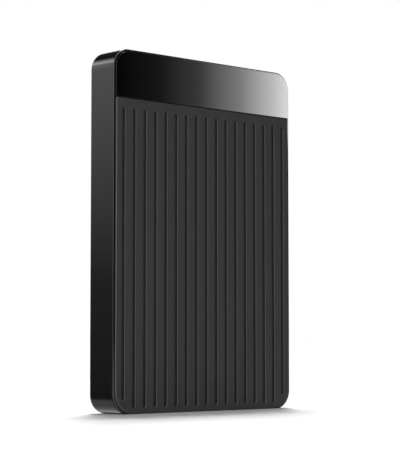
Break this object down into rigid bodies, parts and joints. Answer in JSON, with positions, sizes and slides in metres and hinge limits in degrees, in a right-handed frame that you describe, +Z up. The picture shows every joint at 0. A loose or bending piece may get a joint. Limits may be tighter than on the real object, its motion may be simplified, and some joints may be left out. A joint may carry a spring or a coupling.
{
  "type": "portable external hard drive",
  "caption": "Slim portable hard drive with a ribbed front, a gloss band and rounded corners, holding a spinning disc, a swinging head arm and a data socket.",
  "frame": {"origin": "middle of the plain short end that it stands on", "axes": "+X along the width, +Y from the ribbed front to the back, +Z up along the length"},
  "size_m": [0.078, 0.0124, 0.115],
  "materials": {
    "case_plastic": "gloss black moulded plastic",
    "ribbed_plastic": "fine-grained dark grey plastic",
    "band_gloss": "high-gloss black",
    "adhesive": "adhesive film",
    "rubber": "soft black rubber",
    "foam": "closed-cell foam",
    "circuit_board": "green solder mask",
    "chip": "moulded chip case",
    "connector": "black connector plastic",
    "steel": "bright steel",
    "yoke_steel": "nickel-plated steel",
    "core_steel": "stacked lamination steel",
    "copper": "enamelled copper wire",
    "cast_aluminium": "cast aluminium",
    "sheet_aluminium": "pressed sheet",
    "machined_aluminium": "machined aluminium",
    "disc_mirror": "polished disc",
    "head_ceramic": "dark ceramic",
    "pale_plastic": "ivory plastic",
    "filter_cloth": "white filter cloth",
    "flex_film": "amber film",
    "light_clear": "clear moulded plastic",
    "led_lens": "pale lens"
  },
  "bodies": {
    "case": {"rear_shell": "case_plastic", "front_cover": "ribbed_plastic", "gloss_band": "band_gloss", "band_adhesive": "adhesive", "bumper_lower_left": "rubber", "bumper_lower_right": "rubber", "bumper_upper_left": "rubber", "bumper_upper_right": "rubber", "crash_stops": "rubber", "cover_gasket": "rubber", "front_pad": "foam", "rear_pad": "foam", "bridge_board": "circuit_board", "drive_board": "circuit_board", "bridge_chip": "chip", "controller_chip": "chip", "buffer_chip": "chip", "motor_chip": "chip", "board_connector": "connector", "drive_plug": "connector", "socket_tongue": "connector", "flex_bracket": "connector", "socket_shell": "steel", "bridge_screws": "steel", "cover_screws": "steel", "drive_board_screws": "steel", "ramp_screw": "steel", "bearing_sleeve": "steel", "pivot_shaft": "steel", "yoke_posts": "steel", "yoke_upper": "yoke_steel", "yoke_lower": "yoke_steel", "magnet_upper": "yoke_steel", "magnet_lower": "yoke_steel", "stator_core": "core_steel", "stator_coils": "copper", "drive_base": "cast_aluminium", "drive_cover": "sheet_aluminium", "parking_ramp": "pale_plastic", "recirculation_filter": "filter_cloth", "breather_filter": "filter_cloth", "flex_cable": "flex_film", "light_pipe": "light_clear", "activity_led": "led_lens"},
    "spindle": {"platter": "disc_mirror", "spindle_hub": "machined_aluminium", "rotor_magnet": "yoke_steel", "disc_clamp": "machined_aluminium", "clamp_screw": "steel", "spindle_shaft": "steel"},
    "actuator": {"actuator_arm": "machined_aluminium", "voice_coil": "copper", "pivot_bearings": "steel", "pivot_sleeve": "steel", "suspension_upper": "steel", "suspension_lower": "steel", "slider_upper": "head_ceramic", "slider_lower": "head_ceramic"}
  },
  "joints": [
    {"name": "spindle_spin", "type": "hinge", "parent": "case", "child": "spindle", "pos_m": [0, 0, 0.03739], "axis": [0, 1, 0], "continuous": true},
    {"name": "actuator_swing", "type": "hinge", "parent": "case", "child": "actuator", "pos_m": [-0.0125, 0, 0.0737], "axis": [0, 1, 0], "range_deg": [0, 36]}
  ]
}
